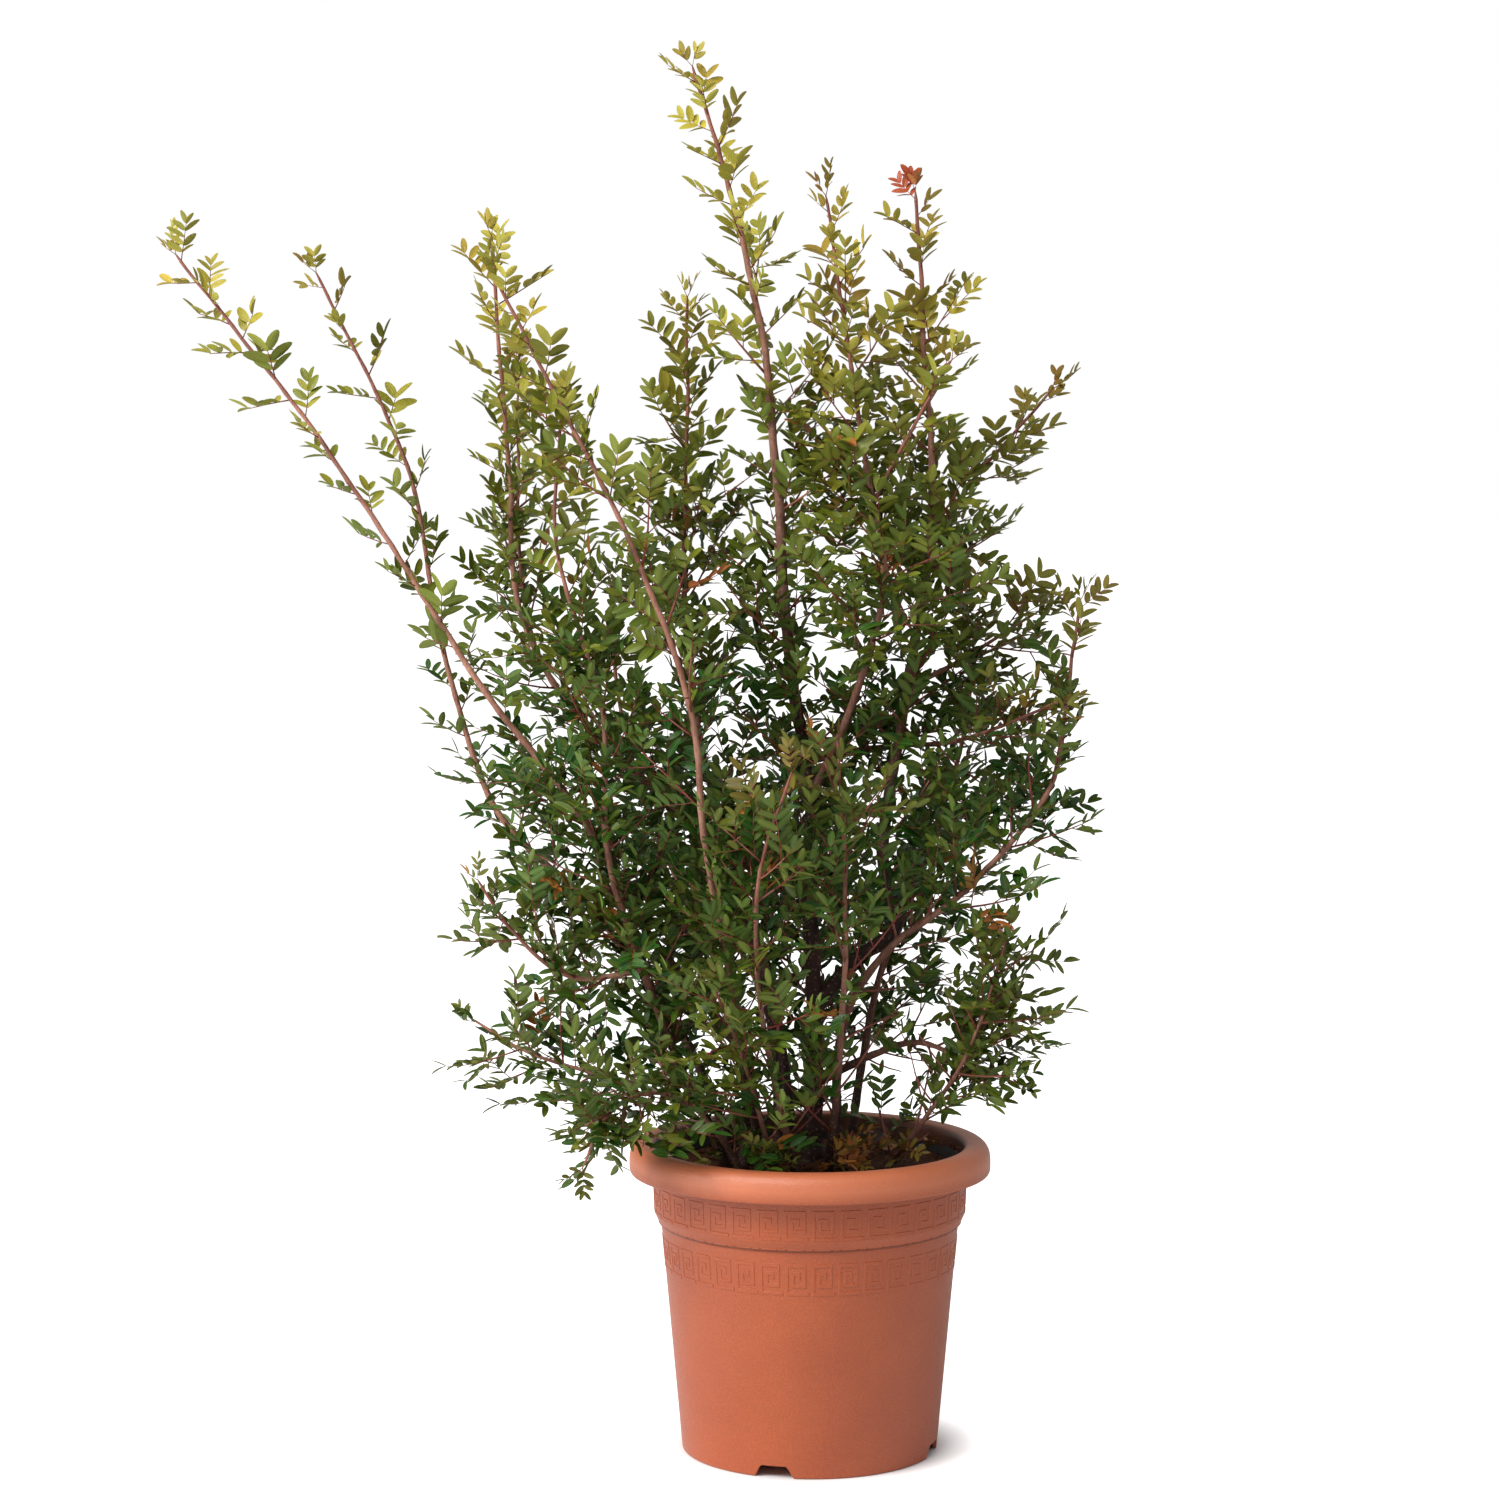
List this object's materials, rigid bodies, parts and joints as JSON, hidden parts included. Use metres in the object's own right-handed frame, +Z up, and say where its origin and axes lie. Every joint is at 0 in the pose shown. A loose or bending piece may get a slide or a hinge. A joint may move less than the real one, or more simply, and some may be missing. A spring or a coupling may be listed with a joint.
{
  "type": "potted mastic tree",
  "caption": "Shrubby evergreen with slender woody stems and small paired leathery leaflets, in a round terracotta-coloured plastic pot with a rolled rim and moulded bands.",
  "frame": {"origin": "on the ground at the centre of the pot's base", "axes": "+Z up; -Y is the front, the side the tree shows best; +X is to the right seen from the front"},
  "size_m": [0.9063, 0.508, 1.3504],
  "materials": {
    "terracotta_plastic": "satin, finely grained",
    "black_plastic": "satin",
    "potting_soil": "rough and crumbly",
    "dry_leaf": "dry",
    "bark": "rough",
    "leaf": "leathery, half glossy"
  },
  "bodies": {
    "root": {"pot": "terracotta_plastic", "nursery_pot": "black_plastic", "soil": "potting_soil", "fallen_leaf_front": "dry_leaf", "fallen_leaf_left": "dry_leaf", "fallen_leaf_right": "dry_leaf", "fallen_leaf_back": "dry_leaf", "stem_leader": "bark", "stem_right_tall": "bark", "stem_right_inner": "bark", "stem_right_second": "bark", "stem_right_low": "bark", "stem_right_front": "bark", "stem_right_cross": "bark", "stem_right_fork": "bark", "stem_right_back": "bark", "stem_right_side": "bark", "stem_left_arching": "bark", "stem_left_sparse": "bark", "stem_left_upright": "bark", "stem_left_back": "bark", "stem_left_leaning": "bark", "stem_centre_back": "bark", "stem_left_inner": "bark", "stem_left_low": "bark", "stem_left_low_back": "bark", "stem_left_hanging": "bark", "stem_front_low": "bark", "stem_front_centre": "bark", "stem_front_left": "bark", "stem_back_left": "bark", "stem_back_right": "bark", "stem_back_centre": "bark", "leaves_leader": "leaf", "leaves_right_tall": "leaf", "leaves_right_inner": "leaf", "leaves_right_second": "leaf", "leaves_right_low": "leaf", "leaves_right_front": "leaf", "leaves_right_cross": "leaf", "leaves_right_fork": "leaf", "leaves_right_back": "leaf", "leaves_right_side": "leaf", "leaves_left_arching": "leaf", "leaves_left_sparse": "leaf", "leaves_left_upright": "leaf", "leaves_left_back": "leaf", "leaves_left_leaning": "leaf", "leaves_centre_back": "leaf", "leaves_left_inner": "leaf", "leaves_left_low": "leaf", "leaves_left_low_back": "leaf", "leaves_left_hanging": "leaf", "leaves_front_low": "leaf", "leaves_front_centre": "leaf", "leaves_front_left": "leaf", "leaves_back_left": "leaf", "leaves_back_right": "leaf", "leaves_back_centre": "leaf"}
  },
  "joints": []
}
